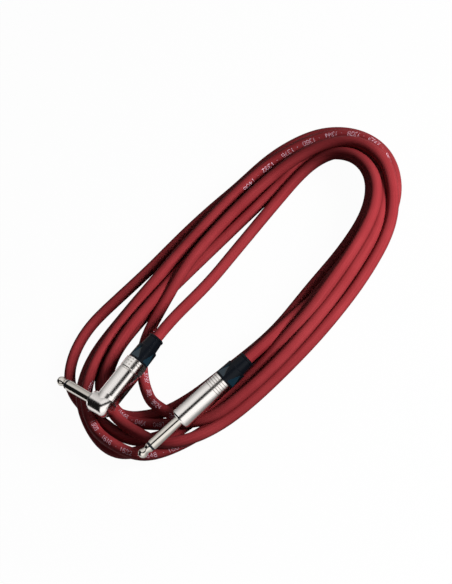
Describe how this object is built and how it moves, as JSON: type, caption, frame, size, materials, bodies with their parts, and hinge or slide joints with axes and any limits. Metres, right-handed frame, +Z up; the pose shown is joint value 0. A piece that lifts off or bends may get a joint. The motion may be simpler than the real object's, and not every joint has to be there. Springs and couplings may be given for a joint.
{
  "type": "instrument cable",
  "caption": "Loosely coiled instrument cable with a straight and a right-angle 6.35 mm plug; each plug's strain-relief bushing unscrews.",
  "frame": {"origin": "centre of the footprint, on the surface that the cable lies on", "axes": "+X along the coil's long axis toward the end away from the plugs, +Y across the coil toward its far run, +Z up"},
  "size_m": [0.2427, 0.1549, 0.0272],
  "materials": {
    "jacket": "satin PVC, dull red",
    "contact": "smooth nickel plate",
    "shell": "satin nickel plate",
    "moulding": "semi-matt black moulding",
    "nylon": "natural nylon",
    "copper": "bare twisted copper",
    "solder": "dull solder"
  },
  "bodies": {
    "cable_and_shells": {"cable_coil": "jacket", "cable_outer_stray": "jacket", "cable_inner_stray": "jacket", "cable_lead_straight": "jacket", "cable_lead_angled": "jacket", "straight_tip": "contact", "straight_insulator": "moulding", "straight_sleeve": "contact", "straight_washer": "nylon", "straight_shell": "shell", "straight_core": "nylon", "straight_shield": "copper", "straight_tip_solder": "solder", "straight_ground_solder": "solder", "angled_tip": "contact", "angled_insulator": "moulding", "angled_sleeve": "contact", "angled_washer": "nylon", "angled_shell": "shell", "angled_core": "nylon", "angled_shield": "copper", "angled_tip_solder": "solder", "angled_ground_solder": "solder"},
    "straight_chuck_body": {"straight_chuck": "nylon"},
    "straight_bushing_body": {"straight_bushing": "moulding"},
    "angled_chuck_body": {"angled_chuck": "nylon"},
    "angled_bushing_body": {"angled_bushing": "moulding"}
  },
  "joints": [
    {"name": "straight_bushing_turn", "type": "hinge", "parent": "straight_chuck_body", "child": "straight_bushing_body", "pos_m": [-0.04219, -0.05557, 0.01554], "axis": [0.9943, -0.0608, -0.0872], "range_deg": [0, 1800]},
    {"name": "straight_bushing_travel", "type": "slide", "parent": "cable_and_shells", "child": "straight_chuck_body", "axis": [0.9943, -0.0608, -0.0872], "range_m": [0, 0.005]},
    {"name": "angled_bushing_turn", "type": "hinge", "parent": "angled_chuck_body", "child": "angled_bushing_body", "pos_m": [-0.06942, 0.00771, 0.01632], "axis": [0.9719, 0.2066, -0.1132], "range_deg": [0, 1800]},
    {"name": "angled_bushing_travel", "type": "slide", "parent": "cable_and_shells", "child": "angled_chuck_body", "axis": [0.9719, 0.2066, -0.1132], "range_m": [0, 0.005]}
  ],
  "couplings": [
    {"joint": "straight_bushing_turn", "follows": "straight_bushing_travel", "rad_per_m": 6283.2},
    {"joint": "angled_bushing_turn", "follows": "angled_bushing_travel", "rad_per_m": 6283.2}
  ]
}
